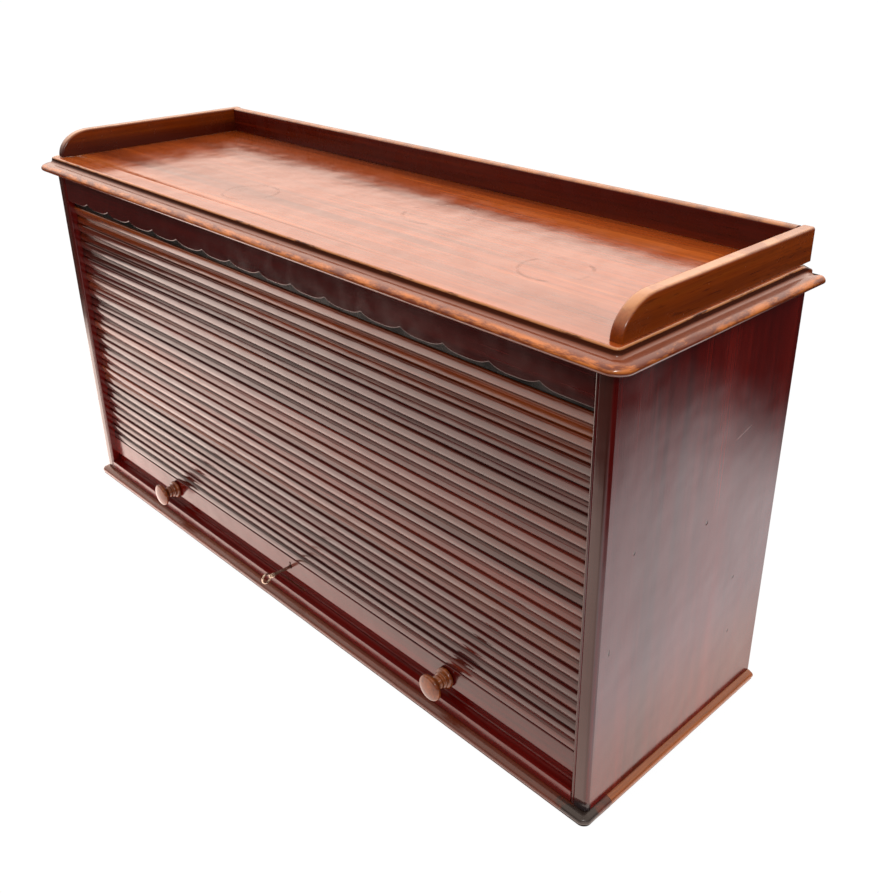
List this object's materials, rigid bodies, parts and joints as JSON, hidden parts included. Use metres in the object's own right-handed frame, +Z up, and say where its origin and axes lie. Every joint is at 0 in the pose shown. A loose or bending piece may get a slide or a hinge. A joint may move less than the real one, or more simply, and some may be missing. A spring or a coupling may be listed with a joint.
{
  "type": "roll top desk cabinet",
  "caption": "Table-top mahogany cabinet with a moulded top and low gallery, closed by a sliding tambour of moulded slats with knobs and a lock, over shelved compartments.",
  "frame": {"origin": "centre of the bounding box on the plane that the base stands on, with the key in its lock counted in the box", "axes": "+X to the right along the front, +Y towards the back, +Z up; the tambour front faces -Y"},
  "size_m": [0.9114, 0.297, 0.48],
  "materials": {
    "mahogany_case": "polished red-brown mahogany",
    "mahogany_edge": "polished mahogany, worn lighter on the edges",
    "mahogany_top": "glossy faded mahogany",
    "mahogany_slat": "polished mahogany moulding",
    "mahogany_knob": "turned and polished",
    "inside_wood": "dull, unpolished",
    "back_wood": "rough pine, stained",
    "canvas": "plain weave linen, glue stained",
    "brass": "tarnished",
    "steel": "worn and darkened"
  },
  "bodies": {
    "case": {"left_side": "mahogany_case", "right_side": "mahogany_case", "base_front_moulding": "mahogany_edge", "base_left_moulding": "mahogany_edge", "base_right_moulding": "mahogany_edge", "bottom_board": "mahogany_case", "lock_keep": "brass", "keep_screw_left": "brass", "keep_screw_right": "brass", "top_board": "mahogany_top", "gallery_left": "mahogany_edge", "gallery_right": "mahogany_edge", "gallery_back": "mahogany_edge", "frieze": "mahogany_case", "tambour_canvas": "canvas", "false_top": "inside_wood", "false_back": "inside_wood", "centre_divider": "inside_wood", "shelf_left": "inside_wood", "shelf_right": "inside_wood", "back_board_1": "back_wood", "back_board_2": "back_wood", "back_board_3": "back_wood", "back_screw_1": "steel", "back_screw_2": "steel", "back_screw_3": "steel"},
    "rail": {"lift_rail": "mahogany_case", "knob_left": "mahogany_knob", "knob_right": "mahogany_knob", "knob_screw_left": "steel", "knob_screw_right": "steel", "lock_case": "brass"},
    "slat_01": {"slat_01": "mahogany_slat"},
    "slat_02": {"slat_02": "mahogany_slat"},
    "slat_03": {"slat_03": "mahogany_slat"},
    "slat_04": {"slat_04": "mahogany_slat"},
    "slat_05": {"slat_05": "mahogany_slat"},
    "slat_06": {"slat_06": "mahogany_slat"},
    "slat_07": {"slat_07": "mahogany_slat"},
    "slat_08": {"slat_08": "mahogany_slat"},
    "slat_09": {"slat_09": "mahogany_slat"},
    "slat_10": {"slat_10": "mahogany_slat"},
    "slat_11": {"slat_11": "mahogany_slat"},
    "slat_12": {"slat_12": "mahogany_slat"},
    "slat_13": {"slat_13": "mahogany_slat"},
    "slat_14": {"slat_14": "mahogany_slat"},
    "slat_15": {"slat_15": "mahogany_slat"},
    "slat_leading": {"slat_leading": "mahogany_case"},
    "bolt": {"lock_bolt": "steel"},
    "key": {"key": "steel"}
  },
  "joints": [
    {"name": "tambour_lift", "type": "slide", "parent": "case", "child": "rail", "axis": [0, 0, 1], "range_m": [0, 0.33], "deforming": ["slat_01", "slat_02", "slat_03", "slat_04", "slat_05", "slat_06", "slat_07", "slat_08", "slat_09", "slat_10", "slat_11", "slat_12", "slat_13", "slat_14", "slat_15", "slat_leading", "tambour_canvas"]},
    {"name": "slat_01_travel", "type": "slide", "parent": "case", "child": "slat_01", "axis": [0, 0.9888, 0.1494], "range_m": [0, 0.14725]},
    {"name": "slat_02_travel", "type": "slide", "parent": "case", "child": "slat_02", "axis": [0, 0.9509, 0.3095], "range_m": [0, 0.14218]},
    {"name": "slat_03_travel", "type": "slide", "parent": "case", "child": "slat_03", "axis": [0, 0.884, 0.4675], "range_m": [0, 0.14118]},
    {"name": "slat_04_travel", "type": "slide", "parent": "case", "child": "slat_04", "axis": [0, 0.7926, 0.6097], "range_m": [0, 0.14433]},
    {"name": "slat_05_travel", "type": "slide", "parent": "case", "child": "slat_05", "axis": [0, 0.687, 0.7266], "range_m": [0, 0.15138]},
    {"name": "slat_06_travel", "type": "slide", "parent": "case", "child": "slat_06", "axis": [0, 0.5784, 0.8157], "range_m": [0, 0.16182]},
    {"name": "slat_07_travel", "type": "slide", "parent": "case", "child": "slat_07", "axis": [0, 0.4753, 0.8798], "range_m": [0, 0.17504]},
    {"name": "slat_08_travel", "type": "slide", "parent": "case", "child": "slat_08", "axis": [0, 0.3822, 0.9241], "range_m": [0, 0.19046]},
    {"name": "slat_09_travel", "type": "slide", "parent": "case", "child": "slat_09", "axis": [0, 0.3006, 0.9538], "range_m": [0, 0.2076]},
    {"name": "slat_10_travel", "type": "slide", "parent": "case", "child": "slat_10", "axis": [0, 0.23, 0.9732], "range_m": [0, 0.22606]},
    {"name": "slat_11_travel", "type": "slide", "parent": "case", "child": "slat_11", "axis": [0, 0.1694, 0.9855], "range_m": [0, 0.24555]},
    {"name": "slat_12_travel", "type": "slide", "parent": "case", "child": "slat_12", "axis": [0, 0.1174, 0.9931], "range_m": [0, 0.26584]},
    {"name": "slat_13_travel", "type": "slide", "parent": "case", "child": "slat_13", "axis": [0, 0.0725, 0.9974], "range_m": [0, 0.28676]},
    {"name": "slat_14_travel", "type": "slide", "parent": "case", "child": "slat_14", "axis": [0, 0.0337, 0.9994], "range_m": [0, 0.30818]},
    {"name": "slat_15_travel", "type": "slide", "parent": "case", "child": "slat_15", "axis": [0, 0, 1], "range_m": [0, 0.33]},
    {"name": "slat_leading_travel", "type": "slide", "parent": "case", "child": "slat_leading", "axis": [0, 1, 0], "range_m": [0, 0.156]},
    {"name": "key_turn", "type": "hinge", "parent": "rail", "child": "key", "pos_m": [-0.004, -0.12, 0.0445], "axis": [0, 1, 0], "range_deg": [0, 180]},
    {"name": "lock_bolt_slide", "type": "slide", "parent": "rail", "child": "bolt", "axis": [1, 0, 0], "range_m": [0, 0.006]}
  ],
  "couplings": [
    {"joint": "slat_01_travel", "follows": "tambour_lift", "ratio": 0.44622},
    {"joint": "slat_02_travel", "follows": "tambour_lift", "ratio": 0.43085},
    {"joint": "slat_03_travel", "follows": "tambour_lift", "ratio": 0.42781},
    {"joint": "slat_04_travel", "follows": "tambour_lift", "ratio": 0.43737},
    {"joint": "slat_05_travel", "follows": "tambour_lift", "ratio": 0.45873},
    {"joint": "slat_06_travel", "follows": "tambour_lift", "ratio": 0.49036},
    {"joint": "slat_07_travel", "follows": "tambour_lift", "ratio": 0.53042},
    {"joint": "slat_08_travel", "follows": "tambour_lift", "ratio": 0.57716},
    {"joint": "slat_09_travel", "follows": "tambour_lift", "ratio": 0.62909},
    {"joint": "slat_10_travel", "follows": "tambour_lift", "ratio": 0.68504},
    {"joint": "slat_11_travel", "follows": "tambour_lift", "ratio": 0.74409},
    {"joint": "slat_12_travel", "follows": "tambour_lift", "ratio": 0.80557},
    {"joint": "slat_13_travel", "follows": "tambour_lift", "ratio": 0.86896},
    {"joint": "slat_14_travel", "follows": "tambour_lift", "ratio": 0.93387},
    {"joint": "slat_15_travel", "follows": "tambour_lift", "ratio": 1},
    {"joint": "slat_leading_travel", "follows": "tambour_lift", "ratio": 0.47273},
    {"joint": "key_turn", "follows": "lock_bolt_slide", "rad_per_m": 523.5}
  ]
}
